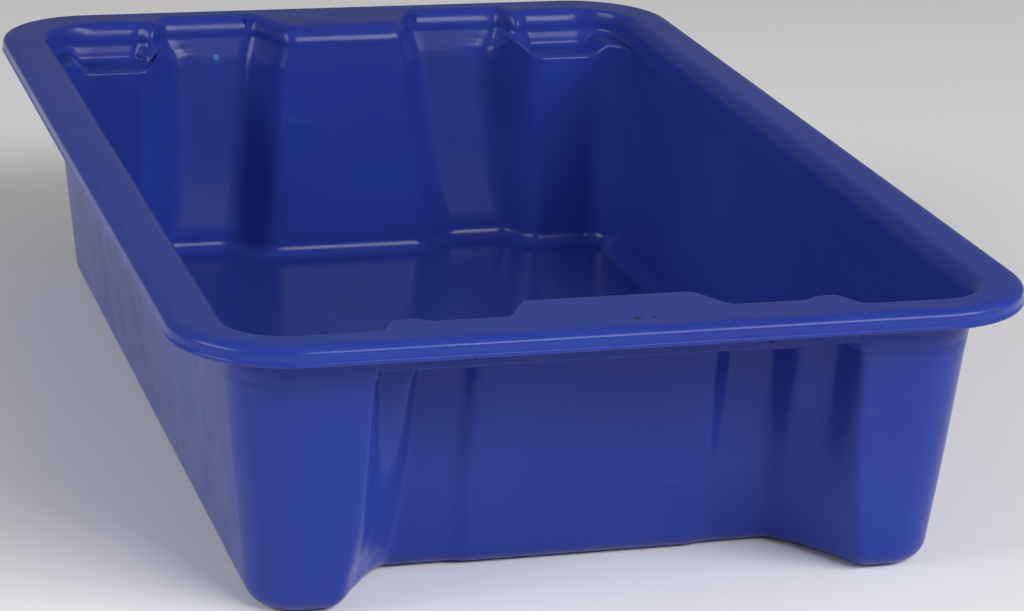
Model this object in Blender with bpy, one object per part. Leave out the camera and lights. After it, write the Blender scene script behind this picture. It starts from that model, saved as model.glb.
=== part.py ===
"""Stack-and-nest plastic mortar tub, one injection moulding.

The tub is a closed skin lofted through rings.  Each ring is a plan outline at one height, and all
rings have the same number of points, so ring joins to ring point by point: from the floor up the inner
face, over the rim, down round the lip, up into the hollow under the rim, and down the outer face to the
underside.  Turned half round, the tub's feet stand on the ledges of the tub below; the same way round,
they slide into its columns and the tubs nest.

Frame: +Z up, +Y along the length, origin at the middle of the footprint on the resting surface.
The end at -Y has its full-height columns in the corners, the end at +Y has them nearer the middle.
"""

import math

import bpy
import numpy as np

MM = 0.001

# Overall sizes, in millimetres like every size below
LENGTH = 645.0
WIDTH = 413.0
HEIGHT = 142.0

# Moulding thicknesses
WALL = 3.0
FLOOR = 3.0
RIM_SKIN = 3.0
LIP_SKIN = 2.5

# Rim
RIM_CORNER_R = 56.0
RIM_EDGE_R = 7.0
RIM_EDGE_DROP = 4.0
LIP_DROP = 9.6
THROAT_DROP = 12.0
RIM_EDGE_INSET = 20.5
THROAT_INSET = 28.5

# Long walls and vertical corners
SIDE_DRAFT_DEG = 6.1
NEAR_CORNER_R = {"rim": 31.0, "throat": 31.0, "foot": 21.0}
FAR_CORNER_R = {"rim": 45.0, "throat": 26.0, "foot": 14.0}

# Floor and stacking ledges
FLOOR_FILLET_R = 9.0
LEDGE_DROP = 22.0
LEDGE_NOSE_R = 2.5
LEDGE_STEP = 0.8
FADE_HEIGHT = 50.0

# The edge of the far end's corner pockets climbs on both flanks: against the long wall, and against
# the foot column.  Insets are from the side of the rim, the reach is from the end of the rim.
POCKET_RISE = 8.0
POCKET_OUTER_INSET = 50.5
POCKET_OUTER_RUN = 11.0
POCKET_INNER_INSET = 84.5
POCKET_INNER_RUN = 11.0
POCKET_COLUMN_INSET = 96.5
POCKET_COLUMN_RUN = 8.0
POCKET_REACH = 65.0
POCKET_REACH_RUN = 65.0

# End outlines of the inner face, from the middle of the end towards its corner.  Each point is its
# distance in from the side of the rim, and its distance in from the end of the rim.  Distances in from
# the side, here and above and in the rib, are drawn on a rim PATTERN_WIDTH wide.  On another width, the
# rim, the long walls' lean and the corners keep their size, SIDE_BORDER in all, and the rest spreads.
PATTERN_WIDTH = 413.0
SIDE_BORDER = 62.0
SPREAD = (WIDTH / 2 - SIDE_BORDER) / (PATTERN_WIDTH / 2 - SIDE_BORDER)
NEAR_END = {
    "rim": ((168.5, 48.5), (152.5, 27.0), (118.5, 27.0), (108.5, 31.5), (102.5, 31.5), (91.5, 17.5)),
    "throat": ((166.5, 55.5), (149.5, 33.5), (119.5, 33.5), (110.5, 39.5), (98.5, 39.5), (88.5, 21.5)),
    "ledge": ((164.5, 56.5), (147.5, 35.0), (120.5, 35.0), (110.5, 42.0), (96.5, 42.0), (87.0, 23.0)),
    "wall": ((152.5, 57.0), (140.5, 65.0), (118.5, 65.0), (110.5, 43.0), (95.5, 43.0), (86.5, 23.5)),
    "fade": ((149.5, 71.0), (140.5, 73.0), (116.5, 73.0), (107.5, 63.5), (96.5, 50.5), (82.5, 30.5)),
    "foot": ((151.5, 79.0), (140.5, 81.0), (113.0, 81.0), (101.5, 71.5), (89.0, 54.0), (75.5, 36.0)),
}
FAR_END = {
    "rim": ((175.5, 46.5), (157.5, 15.5), (102.5, 15.5), (93.5, 29.5), (84.5, 25.5)),
    "throat": ((173.5, 57.5), (154.5, 23.5), (104.5, 23.5), (91.5, 39.0), (83.0, 32.5)),
    "ledge": ((172.5, 59.0), (152.5, 26.0), (108.5, 26.0), (89.5, 46.0), (81.5, 34.5)),
    "wall": ((171.5, 59.5), (150.5, 27.0), (112.5, 27.0), (81.5, 61.0), (76.0, 61.0)),
    "fade": ((166.5, 67.5), (142.5, 43.0), (110.5, 43.0), (80.5, 69.0), (75.5, 69.0)),
    "foot": ((163.5, 72.5), (134.5, 54.5), (103.5, 54.5), (83.5, 73.5), (77.5, 73.5)),
}

# Stiffening rib and gussets in the hollow under the end rims
RIB_THICKNESS = 2.2
RIB_DROP = 20.5
RIB_FACE_INSET = 20.8
NEAR_RIB_SIDE_INSET = 87.5
FAR_RIB_SIDE_INSET = 152.5
GUSSET_SIDE_INSET = 136.0
GUSSET_THICKNESS = 2.0
GUSSET_ROOT_INSETS = {"near": (21.8, 21.8), "far": (24.0, 17.7)}  # at its foot and at its top

# Points along each stretch of a ring
BLEND_STEPS = 4
BLEND_STEEPEST = 1.5
CORNER_STEPS = 6
SIDE_STEPS = 5
ROUND_STEPS = 3

THROAT_Z = HEIGHT - THROAT_DROP
LEDGE_Z = HEIGHT - LEDGE_DROP
WALL_TOP_Z = LEDGE_Z - LEDGE_NOSE_R
FOOT_TOP_Z = FLOOR + FLOOR_FILLET_R


def clear_scene():
    for old in list(bpy.data.objects):
        bpy.data.objects.remove(old, do_unlink=True)


def mix(low, high, share):
    """Value a share of the way from low to high, for numbers or arrays."""
    return low + (high - low) * share


def across(side):
    """Distance from the middle plane, for a distance in from the side drawn on the pattern's rim."""
    return (PATTERN_WIDTH / 2 - side) * SPREAD


def side_half(z):
    """Half width of the inner face at height z, below the throat."""
    return WIDTH / 2 - THROAT_INSET - (THROAT_Z - z) * math.tan(math.radians(SIDE_DRAFT_DEG))


def corner_radius(radii, z):
    share = (z - FOOT_TOP_Z) / (THROAT_Z - FOOT_TOP_Z)
    return mix(radii["foot"], radii["throat"], share)


def end_knots(outline, half, radius, grow):
    """Half an end's knots as (x, depth), moved outwards by grow at right angles to the outline.

    A sloping stretch moved out by grow shifts along x by grow * (sqrt(1 + m^2) - 1) / m, where m is
    its steepest slope, so the wall keeps its thickness on the flanks of columns and pockets.
    """
    points = [(across(side), LENGTH / 2 - end) for side, end in outline]
    points = [(0.0, points[0][1])] + points + [(half - radius, points[-1][1])]
    shifts = []
    for (x0, d0), (x1, d1) in zip(points, points[1:]):
        slope = BLEND_STEEPEST * (d1 - d0) / (x1 - x0)
        shifts.append(-grow * (math.hypot(1.0, slope) - 1.0) / slope if abs(slope) > 0.05 else None)
    knots = []
    for i, (x, depth) in enumerate(points):
        near = [s for s in shifts[max(i - 1, 0):i + 1] if s is not None]
        last = i in (0, len(points) - 1)
        shift = 0.0 if last or not near else sum(near) / len(near)
        knots.append((x + shift, depth + grow))
    return knots


def knot_slopes(x, depth):
    """Slope at each knot: the harmonic mean of its two neighbours' slopes, and level at every peak."""
    secant = np.diff(depth) / np.diff(x)
    before, after = secant[:-1], secant[1:]
    climbs = before * after > 0
    total = np.where(climbs, before + after, 1.0)
    return np.r_[0.0, np.where(climbs, 2 * before * after / total, 0.0), 0.0]


def end_curve(knots):
    """Points from the middle of an end to its corner: one smooth cubic through the knots."""
    x, depth = np.array(knots).T
    slope = knot_slopes(x, depth)
    xs, depths = [], []
    for i in range(len(knots) - 1):
        t = np.arange(BLEND_STEPS) / BLEND_STEPS
        run = x[i + 1] - x[i]
        rise = t * t * (3 - 2 * t)
        bend = run * (slope[i] * t * (1 - t) ** 2 - slope[i + 1] * t * t * (1 - t))
        xs.append(mix(x[i], x[i + 1], t))
        depths.append(mix(depth[i], depth[i + 1], rise) + bend)
    return np.r_[np.concatenate(xs), x[-1]], np.r_[np.concatenate(depths), depth[-1]]


def plan_ring(near_knots, far_knots, half, near_r, far_r):
    """One closed outline, anticlockwise from above, starting at the near end's left corner."""
    near_x, near_d = end_curve(near_knots)
    far_x, far_d = end_curve(far_knots)
    turn = np.linspace(0, math.pi / 2, CORNER_STEPS + 1)[:-1]
    near_y = -(near_d[-1] - near_r)
    far_y = far_d[-1] - far_r
    side = mix(near_y, far_y, np.linspace(0, 1, SIDE_STEPS + 1)[:-1])
    parts = [
        (np.r_[-near_x[::-1], near_x[1:]][:-1], -np.r_[near_d[::-1], near_d[1:]][:-1]),
        (half - near_r + near_r * np.sin(turn), near_y - near_r * np.cos(turn)),
        (np.full(SIDE_STEPS, half), side),
        (half - far_r + far_r * np.cos(turn), far_y + far_r * np.sin(turn)),
        (np.r_[far_x[::-1], -far_x[1:]][:-1], np.r_[far_d[::-1], far_d[1:]][:-1]),
        (-half + far_r - far_r * np.sin(turn), far_y + far_r * np.cos(turn)),
        (np.full(SIDE_STEPS, -half), mix(far_y, near_y, np.linspace(0, 1, SIDE_STEPS + 1)[:-1])),
        (-half + near_r - near_r * np.cos(turn), near_y - near_r * np.sin(turn)),
    ]
    return np.column_stack([np.concatenate([p[0] for p in parts]),
                            np.concatenate([p[1] for p in parts])])


def wall_ring(level, z, grow=0.0):
    """The inner face's outline at a named level, moved outwards by grow."""
    if level == "rim":
        half = WIDTH / 2 - RIM_EDGE_INSET
        near_r, far_r = NEAR_CORNER_R["rim"], FAR_CORNER_R["rim"]
    else:
        half = side_half(z)
        near_r, far_r = corner_radius(NEAR_CORNER_R, z), corner_radius(FAR_CORNER_R, z)
    near = end_knots(NEAR_END[level], half, near_r, grow)
    far = end_knots(FAR_END[level], half, far_r, grow)
    return plan_ring(near, far, half + grow, near_r + grow, far_r + grow)


def rim_ring(inset):
    """The rim's outer outline moved in by inset, with its points spread like the rim's inner edge."""
    half = WIDTH / 2 - inset
    depth = LENGTH / 2 - inset
    radius = RIM_CORNER_R - inset
    ends = []
    for outline in (NEAR_END["rim"], FAR_END["rim"]):
        xs = [0.0] + [across(side) for side, _ in outline] + [half - radius]
        ends.append([(x, depth) for x in xs])
    return plan_ring(ends[0], ends[1], half, radius, radius)


def at_height(plan, z):
    return np.column_stack([plan, np.broadcast_to(z, len(plan))])


def round_shares(count):
    """Quarter turn in even steps, as (share across, share up), without its start."""
    angles = np.linspace(0, math.pi / 2, count + 1)[1:]
    return [(1 - math.cos(a), math.sin(a)) for a in angles]


def soft_step(share):
    """0 below 0, 1 above 1, and 3t^2 - 2t^3 between."""
    share = np.clip(share, 0, 1)
    return share * share * (3 - 2 * share)


def pocket_climb(plan):
    """Climb of the far corner pockets' edge: nothing at the ledge, full on the flanks, nothing past them."""
    side = PATTERN_WIDTH / 2 - np.abs(plan[:, 0]) / SPREAD
    outer = soft_step((POCKET_OUTER_INSET - side) / POCKET_OUTER_RUN)
    inner = soft_step((side - POCKET_INNER_INSET) / POCKET_INNER_RUN)
    inner -= soft_step((side - POCKET_COLUMN_INSET) / POCKET_COLUMN_RUN)
    along = soft_step(1 - (LENGTH / 2 - plan[:, 1] - POCKET_REACH) / POCKET_REACH_RUN)
    return POCKET_RISE * (outer + inner) * along


def ledge_heights(wall, ledge, z):
    """Height z on the stacking ledges, and a little more where the wall runs on past them."""
    width = np.hypot(*(ledge - wall).T)
    return z + LEDGE_STEP * (1 - np.clip(width / (4 * LEDGE_NOSE_R), 0, 1))


def inner_rings():
    """Rings from the floor up the inner face to the inner edge of the rim."""
    rings = []
    for across, up in reversed([(0.0, 0.0)] + round_shares(ROUND_STEPS)):
        inset = FLOOR_FILLET_R * across
        drop = FLOOR_FILLET_R * up
        rings.append(at_height(wall_ring("foot", FOOT_TOP_Z, -inset), FOOT_TOP_Z - drop))
    rings.append(at_height(wall_ring("fade", FADE_HEIGHT), FADE_HEIGHT))
    wall = wall_ring("wall", WALL_TOP_Z)
    ledge = wall_ring("ledge", LEDGE_Z)
    nose = LEDGE_NOSE_R / np.maximum(np.hypot(*(ledge - wall).T), 2 * LEDGE_NOSE_R)
    front = mix(wall, ledge, nose[:, None])
    climb = pocket_climb(wall)
    rings.append(at_height(wall, WALL_TOP_Z + climb))
    soft = mix(wall, front, 0.3)
    rings.append(at_height(soft, mix(WALL_TOP_Z, LEDGE_Z, 0.7) + climb))
    rings.append(at_height(front, LEDGE_Z + climb))
    rings.append(at_height(ledge, ledge_heights(wall, ledge, LEDGE_Z) + climb))
    throat = wall_ring("throat", THROAT_Z)
    rim = wall_ring("rim", HEIGHT)
    rings.append(at_height(throat, THROAT_Z))
    for across, up in round_shares(ROUND_STEPS):
        rings.append(at_height(mix(throat, rim, across), mix(THROAT_Z, HEIGHT, up)))
    return rings


def lip_rings():
    """Rings from the rim's flat top round the lip and up into the hollow under the rim."""
    rings = [at_height(rim_ring(RIM_EDGE_R), HEIGHT)]
    for across, up in round_shares(ROUND_STEPS):
        rings.append(at_height(rim_ring(RIM_EDGE_R * (1 - up)), HEIGHT - RIM_EDGE_DROP * across))
    lip_z = HEIGHT - LIP_DROP
    rings.append(at_height(rim_ring(0.0), lip_z))
    rings.append(at_height(rim_ring(LIP_SKIN), lip_z))
    under = RIM_EDGE_R - LIP_SKIN
    for across, up in [(0.0, 0.0)] + round_shares(ROUND_STEPS - 1):
        z = HEIGHT - mix(RIM_EDGE_DROP, RIM_SKIN, up)
        rings.append(at_height(rim_ring(LIP_SKIN + under * across), z))
    return rings


def outer_rings():
    """Rings down the outer face, from the hollow under the rim to the underside."""
    under_z = HEIGHT - RIM_SKIN
    throat = wall_ring("throat", THROAT_Z, WALL)
    rim = wall_ring("rim", HEIGHT, 0.5)
    rings = [at_height(rim, under_z)]
    for across, up in reversed([(0.0, 0.0)] + round_shares(ROUND_STEPS - 1)[:-1]):
        rings.append(at_height(mix(throat, rim, across), mix(THROAT_Z, under_z, up)))
    wall = wall_ring("wall", WALL_TOP_Z, WALL)
    ledge = wall_ring("ledge", LEDGE_Z, WALL)
    low = LEDGE_Z - WALL
    climb = pocket_climb(wall)
    rings.append(at_height(ledge, ledge_heights(wall, ledge, low) + climb))
    rings.append(at_height(mix(wall, ledge, 0.06), low - 0.1 * LEDGE_NOSE_R + climb))
    rings.append(at_height(wall, low - LEDGE_NOSE_R + climb))
    rings.append(at_height(wall_ring("fade", FADE_HEIGHT, WALL), FADE_HEIGHT))
    bottom_r = FOOT_TOP_Z
    for across, up in [(0.0, 0.0)] + round_shares(ROUND_STEPS):
        grow = WALL - bottom_r * across
        rings.append(at_height(wall_ring("foot", FOOT_TOP_Z, grow), FOOT_TOP_Z - bottom_r * up))
    return rings


def loft(name, rings):
    """Closed mesh through the rings, with a flat face over the first and the last."""
    count = len(rings[0])
    points = np.concatenate(rings) * MM
    faces = [list(range(count))]
    for ring in range(len(rings) - 1):
        for i in range(count):
            j = (i + 1) % count
            low, high = ring * count, (ring + 1) * count
            faces.append([low + i, high + i, high + j, low + j])
    last = (len(rings) - 1) * count
    faces.append([last + i for i in reversed(range(count))])
    mesh = bpy.data.meshes.new(name)
    mesh.from_pydata(points.tolist(), [], faces)
    mesh.validate()
    part = bpy.data.objects.new(name, mesh)
    bpy.context.collection.objects.link(part)
    return part


def prism(name, outline, start, end, axis):
    """Helper solid: an outline pushed from start to end along x (in y, z) or along y (in x, z)."""
    count = len(outline)
    points = []
    for place in (start, end):
        for a, b in outline:
            points.append((place, a, b) if axis == "x" else (a, place, b))
    faces = [list(range(count)), [count + i for i in reversed(range(count))]]
    for i in range(count):
        j = (i + 1) % count
        faces.append([i, count + i, count + j, j])
    mesh = bpy.data.meshes.new(name)
    mesh.from_pydata([[v * MM for v in p] for p in points], [], faces)
    mesh.validate()
    helper = bpy.data.objects.new(name, mesh)
    bpy.context.collection.objects.link(helper)
    make_faces_point_out(helper)
    helper.hide_render = True
    helper.display_type = "WIRE"
    return helper


def make_faces_point_out(part):
    """Turn a closed mesh right side out, judged by the sign of its volume."""
    mesh = part.data
    mesh.calc_loop_triangles()
    volume = 0.0
    for triangle in mesh.loop_triangles:
        a, b, c = (mesh.vertices[i].co for i in triangle.vertices)
        volume += a.dot(b.cross(c))
    if volume < 0:
        mesh.flip_normals()


def rib_helpers():
    """The rib under each end rim, and the gussets that tie it or a column to the lip."""
    helpers = []
    top = HEIGHT - RIM_SKIN / 2
    low = HEIGHT - RIB_DROP
    face = LENGTH / 2 - RIB_FACE_INSET
    for end, sign, side_inset in (("near", -1, NEAR_RIB_SIDE_INSET), ("far", 1, FAR_RIB_SIDE_INSET)):
        reach = across(side_inset)
        outline = [(-reach, low), (reach, low), (reach, top), (-reach, top)]
        ys = sorted((sign * face, sign * (face - RIB_THICKNESS)))
        helpers.append(prism(f"{end}_rib_helper", outline, ys[0], ys[1], "y"))
        foot_root, top_root = (sign * (LENGTH / 2 - inset) for inset in GUSSET_ROOT_INSETS[end])
        tip = sign * (LENGTH / 2 - LIP_SKIN / 2)
        lip_z = HEIGHT - LIP_DROP + LIP_SKIN / 2
        outline = [(foot_root, low + LIP_SKIN), (tip, lip_z), (tip, HEIGHT - RIM_EDGE_DROP),
                   (top_root, top)]
        for side in (-1, 1):
            middle = side * across(GUSSET_SIDE_INSET)
            xs = (middle - GUSSET_THICKNESS / 2, middle + GUSSET_THICKNESS / 2)
            helpers.append(prism(f"{end}_gusset_helper_{side + 1}", outline, xs[0], xs[1], "x"))
    return helpers


def blue_plastic():
    material = bpy.data.materials.new("blue_polyethylene")
    material.use_nodes = True
    shader = material.node_tree.nodes["Principled BSDF"]
    shader.inputs["Base Color"].default_value = (0.018, 0.035, 0.30, 1.0)
    shader.inputs["Roughness"].default_value = 0.28
    shader.inputs["Metallic"].default_value = 0.0
    return material


def build_tub():
    tub = loft("tub", inner_rings() + lip_rings() + outer_rings())
    make_faces_point_out(tub)
    for helper in rib_helpers():
        union = tub.modifiers.new(helper.name, "BOOLEAN")
        union.operation = "UNION"
        union.object = helper
    tub.data.materials.append(blue_plastic())
    tub.data.shade_smooth()
    tub.data.set_sharp_from_angle(angle=math.radians(35))
    return tub


def main():
    clear_scene()
    build_tub()


main()
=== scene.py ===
"""Looks of a stack-and-nest mortar tub: one glossy blue polyethylene moulding in a pale studio.

The file is laid out as a Blender add-on and runs as a script.  The tub is a closed skin through rings.
Each ring is a plan outline at one height, all rings hold the same number of points, and ring joins to
ring point by point: over the floor, up the inner face, over the rim, round the lip, up into the hollow
under the rim, and down the outer face to the underside.

Lengths are in metres; the outline tables are in millimetres and are turned into metres when read.
"""

import math

import bpy
import numpy as np
from bpy.props import FloatProperty, FloatVectorProperty, PointerProperty
from bpy.types import Operator, Panel, PropertyGroup
from mathutils import Matrix, Vector


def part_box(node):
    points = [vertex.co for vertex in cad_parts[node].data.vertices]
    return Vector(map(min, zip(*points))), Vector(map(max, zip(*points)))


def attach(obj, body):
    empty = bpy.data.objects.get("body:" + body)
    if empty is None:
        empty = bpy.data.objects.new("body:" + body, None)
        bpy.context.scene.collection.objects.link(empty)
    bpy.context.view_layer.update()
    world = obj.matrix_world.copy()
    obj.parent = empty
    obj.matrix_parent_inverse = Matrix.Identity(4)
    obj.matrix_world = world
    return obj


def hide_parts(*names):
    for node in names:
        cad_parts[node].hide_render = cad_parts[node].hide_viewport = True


bl_info = {
    "name": "Stack-and-nest mortar tub",
    "version": (1, 0, 0),
    "blender": (4, 5, 0),
    "location": "3D View > Sidebar > Mortar Tub",
    "description": "Builds a one-piece blue plastic mortar tub and the pale studio that it stands in",
    "category": "Object",
}

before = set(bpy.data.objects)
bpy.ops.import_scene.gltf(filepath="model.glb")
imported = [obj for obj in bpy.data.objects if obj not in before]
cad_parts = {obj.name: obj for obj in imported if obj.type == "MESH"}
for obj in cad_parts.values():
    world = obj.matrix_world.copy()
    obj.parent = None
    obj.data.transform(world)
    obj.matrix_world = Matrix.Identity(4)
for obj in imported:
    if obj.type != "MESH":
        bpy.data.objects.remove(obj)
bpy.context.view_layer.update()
TUB_LOW, TUB_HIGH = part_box("tub")
MM = 0.001

# End outlines of the inner face in millimetres, from the middle of the end towards its corner.  Each
# point is its distance in from the side of the rim, and its distance in from the end of the rim.
NEAR_END = {
    "rim": ((168.5, 48.5), (152.5, 27.0), (118.5, 27.0), (108.5, 31.5), (102.5, 31.5), (91.5, 17.5)),
    "throat": ((166.5, 55.5), (149.5, 33.5), (119.5, 33.5), (110.5, 39.5), (98.5, 39.5), (88.5, 21.5)),
    "ledge": ((164.5, 56.5), (147.5, 35.0), (120.5, 35.0), (110.5, 42.0), (96.5, 42.0), (87.0, 23.0)),
    "wall": ((152.5, 57.0), (140.5, 65.0), (118.5, 65.0), (110.5, 43.0), (95.5, 43.0), (86.5, 23.5)),
    "fade": ((149.5, 71.0), (140.5, 73.0), (116.5, 73.0), (107.5, 63.5), (96.5, 50.5), (82.5, 30.5)),
    "foot": ((151.5, 79.0), (140.5, 81.0), (113.0, 81.0), (101.5, 71.5), (89.0, 54.0), (75.5, 36.0)),
}
FAR_END = {
    "rim": ((175.5, 46.5), (157.5, 15.5), (102.5, 15.5), (93.5, 29.5), (84.5, 25.5)),
    "throat": ((173.5, 57.5), (154.5, 23.5), (104.5, 23.5), (91.5, 39.0), (83.0, 32.5)),
    "ledge": ((172.5, 59.0), (152.5, 26.0), (108.5, 26.0), (89.5, 46.0), (81.5, 34.5)),
    "wall": ((171.5, 59.5), (150.5, 27.0), (112.5, 27.0), (81.5, 61.0), (76.0, 61.0)),
    "fade": ((166.5, 67.5), (142.5, 43.0), (110.5, 43.0), (80.5, 69.0), (75.5, 69.0)),
    "foot": ((163.5, 72.5), (134.5, 54.5), (103.5, 54.5), (83.5, 73.5), (77.5, 73.5)),
}
NEAR_CORNER = {"rim": 31 * MM, "throat": 31 * MM, "foot": 21 * MM}
FAR_CORNER = {"rim": 45 * MM, "throat": 26 * MM, "foot": 14 * MM}

# Steepest slope of a smooth step as a multiple of its mean slope, and the slope that counts as level
CURVE_STEEPEST = 1.5
LEVEL_SLOPE = 0.05

# The edge of the far end's corner pockets climbs on both flanks.  A flank starts at its distance in from
# the side of the rim and climbs over its run; the climb fades out along the long wall past the reach.
POCKET_RISE = 8 * MM
POCKET_OUTER, POCKET_OUTER_RUN = 50.5 * MM, 11 * MM
POCKET_INNER, POCKET_INNER_RUN = 84.5 * MM, 11 * MM
POCKET_COLUMN, POCKET_COLUMN_RUN = 96.5 * MM, 8 * MM
POCKET_REACH = 65 * MM

# A ledge ring rises by its step where there is no ledge.  The fillet behind a ledge is a share of its
# width.  Below its least width a ledge is left out, and it is full that much wider.
LEDGE_STEP = 0.8 * MM
LEDGE_FILLET, LEDGE_FILLET_SHARE = 4 * MM, 0.35
LEDGE_LEAST, LEDGE_FULL = 1.5 * MM, 5 * MM
UNDER_LEDGE_SHARE = 0.06  # how far the rounding under a ledge reaches towards the ledge's back

# The hollow under the rim starts a little outside the rim's inner edge.  The skirt stands in from the
# lip's edge by a share of the flare: (share of the way down, share of the flare).
EDGE_GROW = 0.5 * MM
LIP_FLARE = 0.55 * MM
LIP_FLARE_STEPS = ((0.3, 1.0), (0.55, 1.0), (0.72, 0.82), (0.84, 0.4), (0.93, 0.1))

# The plain rounded rectangle in the middle of the floor: its distance from the long walls, its distance
# from the rim's ends, its corner radius, and the gap between the last knot and the corner
FLOOR_MIDDLE_SIDE, FLOOR_MIDDLE_END, FLOOR_MIDDLE_R = 40 * MM, 115 * MM, 20 * MM
FLOOR_CORNER_GAP = 8 * MM

# Ribs and gussets under the end rims; a gusset's root is its inset at its foot and at its top
RIB_DROP, RIB_FACE_INSET, RIB_THICKNESS, RIB_FOOT_R = 20.5 * MM, 20.8 * MM, 2.2 * MM, 0.9 * MM
RIB_ENDS = (("near", -1, 87.5 * MM), ("far", 1, 152.5 * MM))
GUSSET_FROM_MIDDLE, GUSSET_THICKNESS = 70.5 * MM, 2 * MM
GUSSET_ROOTS = {"near": (21.8 * MM, 21.8 * MM), "far": (24.0 * MM, 17.7 * MM)}

# Where the melt was let in, dimples on the rim's top with painted shade: middle and radius.  And a painted
# highlight dot on a far column.
GATE_MARKS = (((0.003, -0.307, 0.142), 2.0 * MM), ((0.011, -0.307, 0.142), 1.3 * MM),
              ((0.0, 0.3165, 0.1415), 2.0 * MM))
PAINTED_HIGHLIGHT_DOT = ((-0.073, 0.296, 0.118), 1.8 * MM)

# Points along each stretch of a ring, and rings along each stretch of the profile
KNOT_STEPS = 8
CORNER_STEPS = 14
SIDE_STEPS = 22
WALL_RINGS = 16
SMALL_ROUND = 5
LARGE_ROUND = 10
FLOOR_SHARES = (0.12, 0.3, 0.55, 1.0)
RIM_SHARES = (0.15, 0.5, 0.85, 1.0)
SMOOTH_ANGLE = math.radians(40)

# The moulding's finish in the material: gate marks' painted shade, the painted highlight dot, rubs and how
# deep the ripple is
# Painted shade: the dark blue of the gate dimples stands in for the shade inside them
GATE_SHADE_BLUE = (0.010, 0.018, 0.11)
HIGHLIGHT_DOT_BLUE = (0.10, 0.30, 0.62)
RUB_BLUE = (0.10, 0.13, 0.40)
RUB_TINT, RUB_ROUGHNESS = 0.12, 0.12
RIPPLE_DEPTH, GATE_DEPTH = 1.2 * MM, 0.25

# The studio: half the floor's side, the point that the lights aim at, and each light's place and size
FLOOR_REACH = 6.0
AIM = (0.0, 0.0, 0.08)
KEY_PLACE, KEY_SIZE = (1.35, -2.05, 1.8), (2.4, 1.1)
SIDE_PLACE, SIDE_SIZE = (2.4, -1.2, 1.2), (1.6, 1.2)
FILL_PLACE, FILL_SIZE = (-2.6, -0.5, 1.4), (1.8, 1.2)

# The camera: its place, the compass angle that it looks from, its tilt down and its roll, in radians
CAMERA_PLACE = (-0.4595, -1.6796, 0.6150)
CAMERA_AZIMUTH, CAMERA_TILT, CAMERA_ROLL = -0.28577, 0.31346, 0.03467


def mix(low, high, share):
    """Value a share of the way from low to high, for numbers or arrays."""
    return low + (high - low) * share


def soft_step(share):
    """0 below 0, 1 above 1, and 3t^2 - 2t^3 between."""
    share = np.clip(share, 0, 1)
    return share * share * (3 - 2 * share)


def quarter(count):
    """A quarter turn in even steps as (share across, share up): (1 - cos a, sin a), start left out."""
    turn = np.linspace(0, math.pi / 2, count + 1)[1:]
    return list(zip(1 - np.cos(turn), np.sin(turn)))


def hermite(low, high, start, finish, run, t):
    """Cubic from low to high over run, with the slopes start and finish, at share t."""
    return (mix(low, high, t * t * (3 - 2 * t))
            + run * (start * t * (1 - t) ** 2 - finish * t * t * (1 - t)))


def agreed_slope(before, after):
    """Harmonic mean of two neighbouring slopes, and level where they disagree in sign."""
    climbs = before * after > 0
    total = np.where(climbs, before + after, 1.0)
    return np.where(climbs, 2 * before * after / total, 0.0)


class TubSizes(PropertyGroup):
    """Sizes of the moulding"""

    length: FloatProperty(name="Length", description="Length over the rim", unit="LENGTH",
                          default=TUB_HIGH.y - TUB_LOW.y)
    width: FloatProperty(name="Width", description="Width over the rim", unit="LENGTH",
                         default=TUB_HIGH.x - TUB_LOW.x)
    height: FloatProperty(name="Height", description="Height from underside to rim top", unit="LENGTH",
                          default=TUB_HIGH.z - TUB_LOW.z)
    wall: FloatProperty(name="Wall", description="Thickness of the walls", unit="LENGTH",
                        default=3 * MM)
    floor: FloatProperty(name="Floor", description="Thickness of the floor", unit="LENGTH",
                         default=3 * MM)
    rim_skin: FloatProperty(name="Rim skin", description="Thickness of the rim's flat", unit="LENGTH",
                            default=3 * MM)
    lip_skin: FloatProperty(name="Lip skin", description="Thickness of the downturned lip",
                            unit="LENGTH", default=2.5 * MM)
    lip_drop: FloatProperty(name="Lip drop", description="Height of the lip, from the rim's top",
                            unit="LENGTH", default=9.6 * MM)
    rim_round: FloatProperty(name="Rim rounding", description="Rounding of the rim's outer edge, across",
                             unit="LENGTH", default=7 * MM)
    rim_round_drop: FloatProperty(name="Rim rounding drop", unit="LENGTH", default=4 * MM,
                                  description="Rounding of the rim's outer edge, downwards")
    rim_inset: FloatProperty(name="Rim width", description="Width of the rim along the long sides",
                             unit="LENGTH", default=20.5 * MM)
    throat_inset: FloatProperty(name="Throat inset", unit="LENGTH", default=28.5 * MM,
                                description="Distance from the side of the rim to the top of the wall")
    throat_drop: FloatProperty(name="Throat drop", unit="LENGTH", default=12 * MM,
                               description="Height of the rounding from the rim down to the wall")
    rim_corner: FloatProperty(name="Rim corner", description="Corner radius of the rim's outside",
                              unit="LENGTH", default=56 * MM)
    side_draft: FloatProperty(name="Side draft", description="Lean of the long walls",
                              subtype="ANGLE", default=math.radians(6.1))
    ledge_drop: FloatProperty(name="Ledge drop", unit="LENGTH", default=22 * MM,
                              description="Depth of the stacking ledges below the rim")
    ledge_nose: FloatProperty(name="Ledge nose", description="Rounding of the ledges' front edge",
                              unit="LENGTH", default=2.5 * MM)
    floor_fillet: FloatProperty(name="Floor fillet", description="Fillet between floor and walls",
                                unit="LENGTH", default=9 * MM)
    fade_height: FloatProperty(name="Fade height", unit="LENGTH", default=50 * MM,
                               description="Height where the pockets have faded into the wall")


class TubFinish(PropertyGroup):
    """Colour and gloss of the plastic"""

    blue: FloatVectorProperty(name="Blue", description="Colour of the plastic", subtype="COLOR",
                              size=3, min=0, max=1, default=(0.021, 0.045, 0.30))
    deep_blue: FloatVectorProperty(name="Deep blue", subtype="COLOR", size=3, min=0, max=1,
                                   description="Darker streaks where the melt flowed",
                                   default=(0.019, 0.038, 0.27))
    roughness: FloatProperty(name="Roughness", description="Roughness of the moulded gloss",
                             min=0, max=1, default=0.22)
    gloss: FloatProperty(name="Gloss", description="Strength of the plastic's reflections",
                         min=0, max=1, default=0.22)


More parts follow.
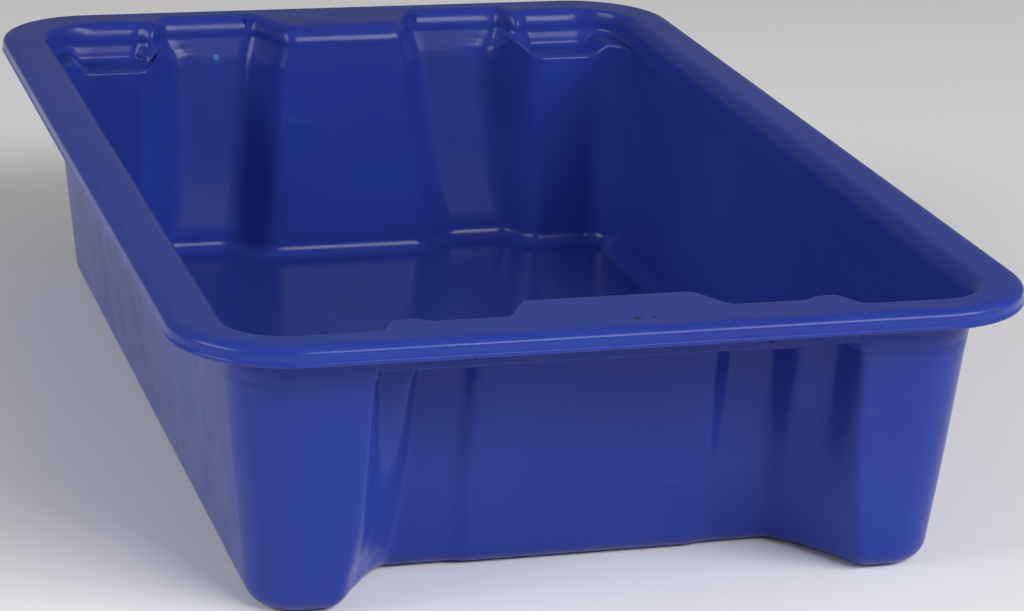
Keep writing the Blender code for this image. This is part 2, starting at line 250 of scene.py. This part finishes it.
class TubStudio(PropertyGroup):
    """Floor, lights and lens of the studio"""

    floor_colour: FloatVectorProperty(name="Floor", description="Colour of the studio floor",
                                      subtype="COLOR", size=3, min=0, max=1,
                                      default=(0.90, 0.90, 0.905))
    sky: FloatProperty(name="Room light", description="Brightness of the room all round", min=0,
                       default=0.18)
    key_power: FloatProperty(name="Key light", description="Power of the front light", unit="POWER",
                             min=0, default=74)
    side_power: FloatProperty(name="Side light", description="Power of the right-hand light",
                              unit="POWER", min=0, default=6)
    fill_power: FloatProperty(name="Fill light", description="Power of the left-hand light",
                              unit="POWER", min=0, default=40)
    lens: FloatProperty(name="Lens", description="Focal length of the camera in millimetres",
                        min=10, default=118.5)


class Heights:
    """Heights of the profile's corners, worked out from the sizes."""

    def __init__(self, s):
        self.rim = s.height
        self.throat = s.height - s.throat_drop
        self.ledge = s.height - s.ledge_drop
        self.wall_top = self.ledge - s.ledge_nose
        self.fade = s.fade_height
        self.foot_top = s.floor + s.floor_fillet
        self.lip = s.height - s.lip_drop


def end_table(ends, level):
    """The knots of one end's outline at a named level, in metres."""
    return np.array(ends[level]) * MM


def wall_table(ends, z, h):
    """Knots of an end's outline at height z: a cubic in z through the foot, fade and wall tables."""
    low, middle, high = (end_table(ends, level) for level in ("foot", "fade", "wall"))
    under, over = h.fade - h.foot_top, h.wall_top - h.fade
    first, second = (middle - low) / under, (high - middle) / over
    bend = agreed_slope(first, second)
    if z <= h.fade:
        return hermite(low, middle, first, bend, under, (z - h.foot_top) / under)
    return hermite(middle, high, bend, second, over, (z - h.fade) / over)


def end_knots(table, s, half, radius, grow):
    """Half an end's knots as x and depth, moved outwards by grow at right angles to the outline.

    A sloping stretch of steepest slope m shifts along x by grow * (sqrt(1 + m^2) - 1) / m.
    """
    x = np.r_[0.0, s.width / 2 - table[:, 0], half - radius]
    depth = s.length / 2 - np.r_[table[0, 1], table[:, 1], table[-1, 1]]
    slope = CURVE_STEEPEST * np.diff(depth) / np.diff(x)
    steep = np.abs(slope) > LEVEL_SLOPE
    safe = np.where(steep, slope, 1.0)
    shift = np.where(steep, -grow * (np.hypot(1, safe) - 1) / safe, 0.0)
    count = np.maximum(steep[:-1] * 1.0 + steep[1:], 1.0)
    x[1:-1] += (shift[:-1] + shift[1:]) / count
    return x, depth + grow


def end_curve(x, depth):
    """Points from the middle of an end to its corner: one smooth cubic through the knots."""
    secant = np.diff(depth) / np.diff(x)
    slope = np.r_[0.0, agreed_slope(secant[:-1], secant[1:]), 0.0]
    t = (np.arange(KNOT_STEPS) / KNOT_STEPS)[None, :]
    a, b = np.s_[:-1, None], np.s_[1:, None]
    xs = mix(x[a], x[b], t)
    run = x[b] - x[a]
    depths = hermite(depth[a], depth[b], slope[a], slope[b], run, t)
    return np.r_[xs.ravel(), x[-1]], np.r_[depths.ravel(), depth[-1]]


def plan_ring(near, far, half, near_r, far_r):
    """One closed outline, anticlockwise from above, starting at the near end's left corner."""
    near_x, near_d = end_curve(*near)
    far_x, far_d = end_curve(*far)
    turn = np.linspace(0, math.pi / 2, CORNER_STEPS + 1)[:-1]
    run = np.linspace(0, 1, SIDE_STEPS + 1)[:-1]
    near_y = near_r - near_d[-1]
    far_y = far_d[-1] - far_r
    x = [np.r_[-near_x[::-1], near_x[1:]][:-1], half - near_r + near_r * np.sin(turn),
         np.full(SIDE_STEPS, half), half - far_r + far_r * np.cos(turn),
         np.r_[far_x[::-1], -far_x[1:]][:-1], far_r - half - far_r * np.sin(turn),
         np.full(SIDE_STEPS, -half), near_r - half - near_r * np.cos(turn)]
    y = [-np.r_[near_d[::-1], near_d[1:]][:-1], near_y - near_r * np.cos(turn),
         mix(near_y, far_y, run), far_y + far_r * np.sin(turn),
         np.r_[far_d[::-1], far_d[1:]][:-1], far_y + far_r * np.cos(turn),
         mix(far_y, near_y, run), near_y - near_r * np.sin(turn)]
    return np.column_stack([np.concatenate(x), np.concatenate(y)])


def shaped_ring(s, half, near_table, far_table, near_r, far_r, grow):
    """A closed outline through both ends' knots, moved outwards by grow."""
    near = end_knots(near_table, s, half, near_r, grow)
    far = end_knots(far_table, s, half, far_r, grow)
    return plan_ring(near, far, half + grow, near_r + grow, far_r + grow)


def side_half(s, h, z):
    """Half width of the inner face at height z: it leans in by the side draft below the throat."""
    return s.width / 2 - s.throat_inset - (h.throat - z) * math.tan(s.side_draft)


def corner_radii(h, z):
    """Corner radii of the near and far ends, which run evenly from the foot's to the throat's."""
    share = (z - h.foot_top) / (h.throat - h.foot_top)
    return [mix(corner["foot"], corner["throat"], share) for corner in (NEAR_CORNER, FAR_CORNER)]


def wall_ring(s, h, z, grow=0.0):
    """The walls' outline at height z, between the floor's fillet and the ledges."""
    near_r, far_r = corner_radii(h, z)
    return shaped_ring(s, side_half(s, h, z), wall_table(NEAR_END, z, h), wall_table(FAR_END, z, h),
                       near_r, far_r, grow)


def level_ring(s, h, level, z, grow=0.0):
    """The outline at the ledges, the throat or the rim's inner edge."""
    if level == "rim":
        half, near_r, far_r = s.width / 2 - s.rim_inset, NEAR_CORNER["rim"], FAR_CORNER["rim"]
    else:
        half = side_half(s, h, z)
        near_r, far_r = corner_radii(h, z)
    return shaped_ring(s, half, end_table(NEAR_END, level), end_table(FAR_END, level),
                       near_r, far_r, grow)


def rim_ring(s, inset):
    """The rim's outer outline moved in by inset, its points spread like those of the inner edge."""
    half, depth, radius = s.width / 2 - inset, s.length / 2 - inset, s.rim_corner - inset
    ends = []
    for table in (end_table(NEAR_END, "rim"), end_table(FAR_END, "rim")):
        x = np.r_[0.0, s.width / 2 - table[:, 0], half - radius]
        ends.append((x, np.full(len(x), depth)))
    return plan_ring(ends[0], ends[1], half, radius, radius)


def floor_ring(s, h, share, grow):
    """The foot's outline moved by grow, drawn a share of the way to a plain rounded rectangle."""
    plan = wall_ring(s, h, h.foot_top, grow)
    reach = side_half(s, h, h.foot_top) - FLOOR_MIDDLE_SIDE
    depth = s.length / 2 - FLOOR_MIDDLE_END
    ends = []
    for table in (end_table(NEAR_END, "foot"), end_table(FAR_END, "foot")):
        x = np.r_[0.0, s.width / 2 - table[:, 0], s.width / 2 - table[-1, 0] + FLOOR_CORNER_GAP]
        x *= (reach - FLOOR_MIDDLE_R) / x[-1]
        ends.append((x, np.full(len(x), depth)))
    middle = plan_ring(ends[0], ends[1], reach, FLOOR_MIDDLE_R, FLOOR_MIDDLE_R)
    return mix(plan, middle, share)


def pocket_climb(s, plan):
    """Climb of the far corner pockets' edge: none at the ledge, full on the flanks, none past them."""
    side = s.width / 2 - np.abs(plan[:, 0])
    outer = soft_step((POCKET_OUTER - side) / POCKET_OUTER_RUN)
    inner = soft_step((side - POCKET_INNER) / POCKET_INNER_RUN)
    column = soft_step((side - POCKET_COLUMN) / POCKET_COLUMN_RUN)
    along = soft_step(1 - (s.length / 2 - plan[:, 1] - POCKET_REACH) / POCKET_REACH)
    return POCKET_RISE * (outer + (inner - column)) * along


def ledge_step(s, width):
    """Small rise of the ledge ring: LEDGE_STEP where there is no ledge, nothing on a wide one."""
    return LEDGE_STEP * (1 - np.clip(width / (4 * s.ledge_nose), 0, 1))


def at(plan, z):
    """Points of a plan outline at the height z, which is one number or one for each point."""
    return np.column_stack([plan, np.broadcast_to(z, len(plan))])


def inner_rings(s, h):
    """Rings over the floor's edge, up the fillet and the wall, over the ledges and up to the rim."""
    foot = h.foot_top
    rings = [at(floor_ring(s, h, share, -s.floor_fillet), s.floor)
             for share in reversed(FLOOR_SHARES)]
    for across, up in reversed([(0.0, 0.0)] + quarter(LARGE_ROUND)):
        rings.append(at(wall_ring(s, h, foot, -s.floor_fillet * across), foot - s.floor_fillet * up))
    for z in np.linspace(foot, h.wall_top, WALL_RINGS + 1)[1:-1]:
        rings.append(at(wall_ring(s, h, z), z))
    wall = wall_ring(s, h, h.wall_top)
    ledge = level_ring(s, h, "ledge", h.ledge)
    width = np.hypot(*(ledge - wall).T)
    climb = pocket_climb(s, wall)
    nose = s.ledge_nose / np.maximum(width, 2 * s.ledge_nose)
    front = mix(wall, ledge, nose[:, None])
    ledges = [at(wall, h.wall_top + climb)]
    for across, up in quarter(SMALL_ROUND):
        ledges.append(at(mix(wall, front, across), mix(h.wall_top, h.ledge, up) + climb))
    step = ledge_step(s, width)
    fillet = np.minimum(LEDGE_FILLET, LEDGE_FILLET_SHARE * width)
    back = mix(ledge, wall, (fillet / np.maximum(width, 1e-6))[:, None])
    ledges.append(at(mix(front, back, 0.5), h.ledge + step / 2 + climb))
    throat = level_ring(s, h, "throat", h.throat)
    for angle in np.linspace(0, math.pi / 2, SMALL_ROUND + 1):
        lift = fillet * (1 - math.cos(angle)) * np.clip((POCKET_RISE - climb) / POCKET_RISE, 0, 1)
        ledges.append(at(mix(back, ledge, math.sin(angle)), h.ledge + step + climb + lift))
    start = ledges[-1]
    for share in (0.35, 0.7):
        ledges.append(mix(start, at(throat, h.throat), share))
    # Where the ledge is next to nothing, the rings run straight on from the wall to the throat.
    is_ledge = soft_step((width + climb - LEDGE_LEAST) / LEDGE_FULL)[:, None]
    for number, ring in enumerate(ledges):
        share = number / len(ledges)
        plain = mix(at(wall, h.wall_top), at(throat, h.throat), share)
        rings.append(mix(plain, ring, is_ledge))
    rim = level_ring(s, h, "rim", h.rim)
    for across, up in [(0.0, 0.0)] + quarter(LARGE_ROUND):
        rings.append(at(mix(throat, rim, across), mix(h.throat, h.rim, up)))
    return rings


def lip_rings(s, h):
    """Rings over the rim's flat, round its outer edge, down the lip and up its inside."""
    inner = level_ring(s, h, "rim", h.rim)
    outer = rim_ring(s, s.rim_round)
    rings = [at(mix(inner, outer, share), h.rim) for share in RIM_SHARES]
    for across, up in quarter(LARGE_ROUND):
        inset = s.rim_round - (s.rim_round - LIP_FLARE) * up
        rings.append(at(rim_ring(s, inset), h.rim - s.rim_round_drop * across))
    bead = s.lip_skin / 2
    skirt_top = h.rim - s.rim_round_drop
    for share, inset in LIP_FLARE_STEPS:
        rings.append(at(rim_ring(s, LIP_FLARE * inset), mix(skirt_top, h.lip + bead, share)))
    for angle in np.linspace(0, math.pi, 2 * SMALL_ROUND + 1):
        rings.append(at(rim_ring(s, bead * (1 - math.cos(angle))), h.lip + bead * (1 - math.sin(angle))))
    under = s.rim_round - s.lip_skin
    for across, up in [(0.0, 0.0)] + quarter(SMALL_ROUND):
        z = s.height - mix(s.rim_round_drop, s.rim_skin, up)
        rings.append(at(rim_ring(s, s.lip_skin + under * across), z))
    return rings


def outer_rings(s, h):
    """Rings from the hollow under the rim down the outer face and round onto the underside."""
    under = h.rim - s.rim_skin
    throat = level_ring(s, h, "throat", h.throat, s.wall)
    rim = level_ring(s, h, "rim", h.rim, EDGE_GROW)
    rings = [at(mix(rim_ring(s, s.rim_round), rim, 0.5), under), at(rim, under)]
    for across, up in reversed([(0.0, 0.0)] + quarter(SMALL_ROUND)[:-1]):
        rings.append(at(mix(throat, rim, across), mix(h.throat, under, up)))
    wall = wall_ring(s, h, h.wall_top, s.wall)
    ledge = level_ring(s, h, "ledge", h.ledge, s.wall)
    width = np.hypot(*(ledge - wall).T)
    climb = pocket_climb(s, wall)
    step = ledge_step(s, width)
    low = h.ledge - s.wall
    rings.append(at(ledge, low + step + climb))
    for across, up in reversed(quarter(SMALL_ROUND)):
        rings.append(at(mix(wall, ledge, UNDER_LEDGE_SHARE * across), low - s.ledge_nose * (1 - up) + climb))
    rings.append(at(wall, low - s.ledge_nose + climb))
    for z in np.linspace(h.foot_top, low - s.ledge_nose, WALL_RINGS + 1)[-2:0:-1]:
        rings.append(at(wall_ring(s, h, z, s.wall), z))
    bottom = h.foot_top
    for across, up in [(0.0, 0.0)] + quarter(LARGE_ROUND):
        grow = s.wall - bottom * across
        rings.append(at(wall_ring(s, h, h.foot_top, grow), h.foot_top - bottom * up))
    for share in FLOOR_SHARES:
        rings.append(at(floor_ring(s, h, share, s.wall - bottom), 0.0))
    return rings


def skin_mesh(name, rings):
    """Closed mesh through rings of equal length: quads between them and a face over both ends."""
    count, rows = len(rings[0]), len(rings)
    index = np.arange(rows * count).reshape(rows, count)
    beside = np.roll(index, -1, axis=1)
    quads = np.stack([index[:-1], beside[:-1], beside[1:], index[1:]], axis=-1).reshape(-1, 4)
    loops = np.concatenate([index[0][::-1], quads.ravel(), index[-1]])
    sizes = np.r_[count, np.full(len(quads), 4), count]
    starts = np.r_[0, np.cumsum(sizes)[:-1]]
    mesh = bpy.data.meshes.new(name)
    mesh.vertices.add(rows * count)
    mesh.vertices.foreach_set("co", np.concatenate(rings).astype(np.float32).ravel())
    mesh.loops.add(len(loops))
    mesh.loops.foreach_set("vertex_index", loops.astype(np.int32))
    mesh.polygons.add(len(sizes))
    mesh.polygons.foreach_set("loop_start", starts.astype(np.int32))
    mesh.update(calc_edges=True)
    mesh.validate()
    return mesh


def turned_out(mesh):
    """The mesh with its faces outwards, judged by the sign of its volume, as a sum over triangles."""
    mesh.calc_loop_triangles()
    points = np.empty(len(mesh.vertices) * 3, np.float32)
    mesh.vertices.foreach_get("co", points)
    corners = np.empty(len(mesh.loop_triangles) * 3, np.int32)
    mesh.loop_triangles.foreach_get("vertices", corners)
    a, b, c = points.reshape(-1, 3)[corners.reshape(-1, 3)].transpose(1, 0, 2)
    if np.einsum("ij,ij->i", a, np.cross(b, c)).sum() < 0:
        mesh.flip_normals()
    return mesh


def linked(name, mesh):
    """A new object for the mesh, in the scene."""
    piece = bpy.data.objects.new(name, mesh)
    bpy.context.scene.collection.objects.link(piece)
    return piece


def bar_rings(profile, start, end):
    """Rings of a bar: one closed profile of (y, z) points carried straight along x from start to end."""
    return [np.column_stack([np.full(len(profile), x), profile]) for x in (start, end)]


def rounded_foot(left, right, low, high, radius, count=5):
    """Profile of a rib: an upright strip whose two lower corners are quarter circles."""
    turn = np.linspace(0, math.pi / 2, count)
    one = np.column_stack([left + radius * (1 - np.cos(turn)), low + radius * (1 - np.sin(turn))])
    two = np.column_stack([right - radius * (1 - np.sin(turn)), low + radius * (1 - np.cos(turn))])
    return np.vstack([[left, high], one, two, [right, high]])


def rib_parts(s, h):
    """The rib under each end rim, and the two gussets that tie each rib to the lip."""
    parts = []
    top, low = h.rim - s.rim_skin / 2, h.rim - RIB_DROP
    face = s.length / 2 - RIB_FACE_INSET
    for end, sign, side_inset in RIB_ENDS:
        reach = s.width / 2 - side_inset
        left, right = sorted((sign * face, sign * (face - RIB_THICKNESS)))
        strip = rounded_foot(left, right, low, top, RIB_FOOT_R)
        parts.append((f"{end}_rib", bar_rings(strip, -reach, reach)))
        foot_root, top_root = (sign * (s.length / 2 - inset) for inset in GUSSET_ROOTS[end])
        tip, lip_z = sign * (s.length / 2 - s.lip_skin / 2), h.lip + s.lip_skin / 2
        tie = np.array([(foot_root, low + s.lip_skin), (tip, lip_z),
                        (tip, h.rim - s.rim_round_drop), (top_root, top)])
        for side in (-1, 1):
            middle = side * GUSSET_FROM_MIDDLE
            start, finish = middle - GUSSET_THICKNESS / 2, middle + GUSSET_THICKNESS / 2
            parts.append((f"{end}_gusset", bar_rings(tie, start, finish)))
    return parts


def joined_to(body, parts):
    """The body's mesh with every part fused to it by an exact Boolean union."""
    helpers = [linked(name, turned_out(skin_mesh(name, rings))) for name, rings in parts]
    for helper in helpers:
        union = body.modifiers.new(helper.name, "BOOLEAN")
        union.operation = "UNION"
        union.object = helper
    bpy.context.view_layer.update()
    whole = body.evaluated_get(bpy.context.evaluated_depsgraph_get())
    mesh = bpy.data.meshes.new_from_object(whole)
    body.modifiers.clear()
    for helper in helpers:
        bpy.data.objects.remove(helper)
    body.data = mesh
    return body


def node_group(name, inputs, outputs):
    """An empty shader node group with named sockets; inputs are (name, kind, default)."""
    group = bpy.data.node_groups.new(name, "ShaderNodeTree")
    for label, kind, default in inputs:
        socket = group.interface.new_socket(label, in_out="INPUT", socket_type=kind)
        if default is not None:
            socket.default_value = default
    for label, kind in outputs:
        group.interface.new_socket(label, in_out="OUTPUT", socket_type=kind)
    return group, group.nodes.new("NodeGroupInput"), group.nodes.new("NodeGroupOutput")


def maths(tree, operation, first, second=None, clamp=False):
    """Math node; each operand is a socket or a number."""
    node = tree.nodes.new("ShaderNodeMath")
    node.operation = operation
    node.use_clamp = clamp
    for socket, value in zip(node.inputs, (first, second)):
        if isinstance(value, bpy.types.NodeSocket):
            tree.links.new(value, socket)
        elif value is not None:
            socket.default_value = value
    return node.outputs[0]


def noise(tree, vector, scale, detail=2.0, roughness=0.5, distortion=0.0):
    """Noise texture's value at a vector; each setting is a socket or a number."""
    node = tree.nodes.new("ShaderNodeTexNoise")
    tree.links.new(vector, node.inputs["Vector"])
    for name, value in (("Scale", scale), ("Detail", detail), ("Roughness", roughness),
                        ("Distortion", distortion)):
        if isinstance(value, bpy.types.NodeSocket):
            tree.links.new(value, node.inputs[name])
        else:
            node.inputs[name].default_value = value
    return node.outputs["Fac"]


def spread(tree, value, low, high, new_low=0.0, new_high=1.0):
    """Map Range with a smooth step from low..high to new_low..new_high."""
    node = tree.nodes.new("ShaderNodeMapRange")
    node.interpolation_type = "SMOOTHSTEP"
    for socket, number in zip(node.inputs, (value, low, high, new_low, new_high)):
        if isinstance(number, bpy.types.NodeSocket):
            tree.links.new(number, socket)
        else:
            socket.default_value = number
    return node.outputs[0]


def moulded_ripple():
    """Group: slow waves of a cooled skin plus a fine grain, as one height."""
    group, given, result = node_group(
        "moulded_ripple",
        [("Vector", "NodeSocketVector", None), ("Wave Scale", "NodeSocketFloat", 9.0),
         ("Grain Scale", "NodeSocketFloat", 420.0), ("Grain Share", "NodeSocketFloat", 0.06)],
        [("Height", "NodeSocketFloat")])
    wave = noise(group, given.outputs["Vector"], given.outputs["Wave Scale"], 1.5, 0.45)
    grain = noise(group, given.outputs["Vector"], given.outputs["Grain Scale"], 2.0, 0.6)
    fine = maths(group, "MULTIPLY", grain, given.outputs["Grain Share"])
    group.links.new(maths(group, "ADD", wave, fine), result.inputs["Height"])
    return group


def rubbed_marks():
    """Group: faint crossing rub marks, as a mask that is 1 on a mark."""
    group, given, result = node_group(
        "rubbed_marks",
        [("Vector", "NodeSocketVector", None), ("Scale", "NodeSocketFloat", 18.0),
         ("Amount", "NodeSocketFloat", 0.5)],
        [("Mask", "NodeSocketFloat")])
    masks = []
    for turn, stretch in ((0.3, (1.0, 26.0, 1.0)), (-0.9, (1.0, 34.0, 1.0))):
        mapping = group.nodes.new("ShaderNodeMapping")
        mapping.inputs["Rotation"].default_value = (0.2, 0.1, turn)
        mapping.inputs["Scale"].default_value = stretch
        group.links.new(given.outputs["Vector"], mapping.inputs["Vector"])
        streak = noise(group, mapping.outputs["Vector"], given.outputs["Scale"], 3.0, 0.55, 0.2)
        masks.append(spread(group, streak, 0.62, 0.72))
    both = maths(group, "MAXIMUM", masks[0], masks[1])
    patch = noise(group, given.outputs["Vector"], 7.0, 1.0)
    broken = maths(group, "MULTIPLY", both, spread(group, patch, 0.45, 0.65))
    group.links.new(maths(group, "MULTIPLY", broken, given.outputs["Amount"]), result.inputs["Mask"])
    return group


def round_mark():
    """Group: a small round mark at a point, as a mask that fades out over a fifth of its radius."""
    group, given, result = node_group(
        "round_mark",
        [("Vector", "NodeSocketVector", None), ("Centre", "NodeSocketVector", (0, 0, 0)),
         ("Radius", "NodeSocketFloat", 2 * MM)],
        [("Mask", "NodeSocketFloat")])
    away = group.nodes.new("ShaderNodeVectorMath")
    away.operation = "DISTANCE"
    group.links.new(given.outputs["Vector"], away.inputs[0])
    group.links.new(given.outputs["Centre"], away.inputs[1])
    share = maths(group, "DIVIDE", away.outputs["Value"], given.outputs["Radius"])
    group.links.new(spread(group, share, 0.8, 1.2, 1.0, 0.0), result.inputs["Mask"])
    return group


def placed(tree, group, vector, values):
    """A node group placed in a material with its own values; gives its first output."""
    node = tree.nodes.new("ShaderNodeGroup")
    node.node_tree = group
    tree.links.new(vector, node.inputs["Vector"])
    for name, value in values.items():
        node.inputs[name].default_value = value
    return node.outputs[0]


def new_material(name):
    """A material with its tree, its Principled BSDF and its Object coordinates."""
    material = bpy.data.materials.new(name)
    material.use_nodes = True
    tree = material.node_tree
    shader = tree.nodes["Principled BSDF"]
    place = tree.nodes.new("ShaderNodeTexCoord").outputs["Object"]
    return material, tree, shader, place


def colour_mix(tree, share, first, second):
    """Colour a share of the way from first to second; each is a socket or three numbers."""
    node = tree.nodes.new("ShaderNodeMix")
    node.data_type = "RGBA"
    tree.links.new(share, node.inputs["Factor"])
    for socket, value in ((node.inputs[6], first), (node.inputs[7], second)):
        if isinstance(value, bpy.types.NodeSocket):
            tree.links.new(value, socket)
        else:
            socket.default_value = (*value, 1.0)
    return node.outputs[2]


def bumped(tree, shader, height, distance, strength):
    """A bump of the given height socket on the shader's normal."""
    bump = tree.nodes.new("ShaderNodeBump")
    bump.inputs["Strength"].default_value = strength
    bump.inputs["Distance"].default_value = distance
    tree.links.new(height, bump.inputs["Height"])
    tree.links.new(bump.outputs["Normal"], shader.inputs["Normal"])


def blue_polyethylene(finish, groups):
    """Glossy moulded plastic: flow tones, cooled-skin ripple, faint rubs, gate dimples with painted shade
    and a painted highlight dot.
    """
    material, tree, shader, place = new_material("blue_polyethylene")
    marks = [placed(tree, groups["round_mark"], place, {"Centre": centre, "Radius": radius})
             for centre, radius in GATE_MARKS]
    gate_dimples_and_shade = maths(tree, "MAXIMUM", maths(tree, "MAXIMUM", marks[0], marks[1]), marks[2])
    highlight_dot = placed(tree, groups["round_mark"], place, {"Centre": PAINTED_HIGHLIGHT_DOT[0], "Radius": PAINTED_HIGHLIGHT_DOT[1]})
    shader.inputs["IOR"].default_value = 1.5
    shader.inputs["Specular IOR Level"].default_value = finish.gloss
    flow = spread(tree, noise(tree, place, 5.0, 2.0, 0.5, 0.6), 0.35, 0.7)
    tone = colour_mix(tree, flow, finish.blue, finish.deep_blue)
    rubs = placed(tree, groups["rubbed_marks"], place, {"Scale": 16.0, "Amount": 0.5})
    tone = colour_mix(tree, maths(tree, "MULTIPLY", rubs, RUB_TINT), tone, RUB_BLUE)
    # Painted shade: the gate dimples are tinted dark blue, and the same mask dents them
    tone = colour_mix(tree, gate_dimples_and_shade, tone, GATE_SHADE_BLUE)
    # Painted highlight: the pale dot on a far column is tinted light blue
    tone = colour_mix(tree, maths(tree, "MULTIPLY", highlight_dot, 0.5), tone, HIGHLIGHT_DOT_BLUE)
    tree.links.new(tone, shader.inputs["Base Color"])
    cloud = noise(tree, place, 30.0, 3.0, 0.6)
    rough = spread(tree, cloud, 0.3, 0.7, finish.roughness - 0.02, finish.roughness + 0.03)
    rough = maths(tree, "ADD", rough, maths(tree, "MULTIPLY", rubs, RUB_ROUGHNESS))
    tree.links.new(rough, shader.inputs["Roughness"])
    ripple = placed(tree, groups["moulded_ripple"], place,
                    {"Wave Scale": 9.0, "Grain Scale": 420.0, "Grain Share": 0.02})
    dented = maths(tree, "SUBTRACT", ripple, maths(tree, "MULTIPLY", gate_dimples_and_shade, GATE_DEPTH))
    bumped(tree, shader, dented, RIPPLE_DEPTH, 0.5)
    return material


def pale_paper(studio, groups):
    """Matt studio paper with a faint fibre grain."""
    material, tree, shader, place = new_material("pale_paper")
    shader.inputs["Specular IOR Level"].default_value = 0.2
    shader.inputs["Roughness"].default_value = 0.9
    cloud = noise(tree, place, 3.0, 2.0)
    darker = tuple(0.985 * channel for channel in studio.floor_colour)
    tone = colour_mix(tree, cloud, tuple(studio.floor_colour), darker)
    tree.links.new(tone, shader.inputs["Base Color"])
    grain = placed(tree, groups["moulded_ripple"], place,
                   {"Wave Scale": 2.0, "Grain Scale": 900.0, "Grain Share": 0.3})
    bumped(tree, shader, grain, 0.1 * MM, 0.3)
    return material


def shader_groups():
    """The shared node groups by name, made once."""
    makers = (moulded_ripple, rubbed_marks, round_mark)
    return {maker.__name__: bpy.data.node_groups.get(maker.__name__) or maker() for maker in makers}


class MORTARTUB_OT_tub(Operator):
    """Build the tub as one fine moulding and hang it on the frame"""

    bl_idname = "mortar_tub.tub"
    bl_label = "Build Tub"

    def execute(self, context):
        s = context.scene.mortar_tub_sizes
        h = Heights(s)
        rings = inner_rings(s, h) + lip_rings(s, h) + outer_rings(s, h)
        tub = linked("mortar_tub", turned_out(skin_mesh("mortar_tub", rings)))
        joined_to(tub, rib_parts(s, h))
        tub.data.shade_smooth()
        tub.data.set_sharp_from_angle(angle=SMOOTH_ANGLE)
        tub.data.materials.clear()
        tub.data.materials.append(blue_polyethylene(context.scene.mortar_tub_finish, shader_groups()))
        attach(tub, "root")
        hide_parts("tub")
        return {"FINISHED"}


def area_light(name, place, size, power):
    """A white rectangular light that faces the point AIM."""
    lamp = bpy.data.lights.new(name, "AREA")
    lamp.shape = "RECTANGLE"
    lamp.size, lamp.size_y = size
    lamp.energy = power
    holder = bpy.data.objects.new(name, lamp)
    bpy.context.scene.collection.objects.link(holder)
    holder.location = place
    holder.rotation_euler = (Vector(AIM) - Vector(place)).to_track_quat("-Z", "Y").to_euler()


class MORTARTUB_OT_stage(Operator):
    """Set the pale floor, the soft lights and the camera"""

    bl_idname = "mortar_tub.stage"
    bl_label = "Set Stage"

    def execute(self, context):
        studio = context.scene.mortar_tub_studio
        mesh = bpy.data.meshes.new("studio_floor")
        corners = [(x, y, 0.0) for y in (-FLOOR_REACH, FLOOR_REACH) for x in (-FLOOR_REACH, FLOOR_REACH)]
        mesh.from_pydata(corners, [], [(0, 1, 3, 2)])
        mesh.materials.append(pale_paper(studio, shader_groups()))
        linked("studio_floor", mesh)
        world = bpy.data.worlds.new("studio_room")
        world.use_nodes = True
        background = world.node_tree.nodes["Background"]
        background.inputs["Color"].default_value = (1.0, 1.0, 1.0, 1.0)
        background.inputs["Strength"].default_value = studio.sky
        context.scene.world = world
        area_light("front_key", KEY_PLACE, KEY_SIZE, studio.key_power)
        area_light("right_side", SIDE_PLACE, SIDE_SIZE, studio.side_power)
        area_light("left_fill", FILL_PLACE, FILL_SIZE, studio.fill_power)
        context.scene.camera = self.camera(studio.lens)
        context.scene.view_settings.view_transform = "Standard"
        return {"FINISHED"}

    def camera(self, lens):
        """Camera from its place, the compass and tilt angles of its view, and its roll."""
        outwards = math.cos(CAMERA_TILT)
        back = Vector((math.sin(CAMERA_AZIMUTH) * outwards, -math.cos(CAMERA_AZIMUTH) * outwards,
                       math.sin(CAMERA_TILT)))
        level = (-back).cross(Vector((0, 0, 1))).normalized()
        rise = level.cross(-back)
        right = math.cos(CAMERA_ROLL) * level + math.sin(CAMERA_ROLL) * rise
        up = math.cos(CAMERA_ROLL) * rise - math.sin(CAMERA_ROLL) * level
        camera = bpy.data.cameras.new("camera")
        camera.lens = lens
        holder = bpy.data.objects.new("camera", camera)
        bpy.context.scene.collection.objects.link(holder)
        turned = Matrix((right, up, back)).transposed().to_4x4()
        holder.matrix_world = Matrix.Translation(CAMERA_PLACE) @ turned
        return holder


class MORTARTUB_PT_panel(Panel):
    """Every size, colour and light, and the two operators that build from them"""

    bl_label = "Mortar Tub"
    bl_space_type = "VIEW_3D"
    bl_region_type = "UI"
    bl_category = "Mortar Tub"

    def draw(self, context):
        for group in (context.scene.mortar_tub_sizes, context.scene.mortar_tub_finish,
                      context.scene.mortar_tub_studio):
            box = self.layout.box()
            for name in group.bl_rna.properties.keys():
                if name not in ("rna_type", "name"):
                    box.prop(group, name)
        self.layout.operator(MORTARTUB_OT_tub.bl_idname)
        self.layout.operator(MORTARTUB_OT_stage.bl_idname)


CLASSES = (TubSizes, TubFinish, TubStudio, MORTARTUB_OT_tub, MORTARTUB_OT_stage, MORTARTUB_PT_panel)
GROUPS = (("mortar_tub_sizes", TubSizes), ("mortar_tub_finish", TubFinish),
          ("mortar_tub_studio", TubStudio))


def register():
    """Make the classes known to Blender and hang the three property groups on the scene."""
    for cls in CLASSES:
        bpy.utils.register_class(cls)
    for name, cls in GROUPS:
        setattr(bpy.types.Scene, name, PointerProperty(type=cls))


def unregister():
    """Take away what register added."""
    for name, _ in GROUPS:
        delattr(bpy.types.Scene, name)
    for cls in reversed(CLASSES):
        bpy.utils.unregister_class(cls)


def main():
    register()
    bpy.ops.mortar_tub.stage()
    bpy.ops.mortar_tub.tub()


if __name__ == "__main__":
    main()
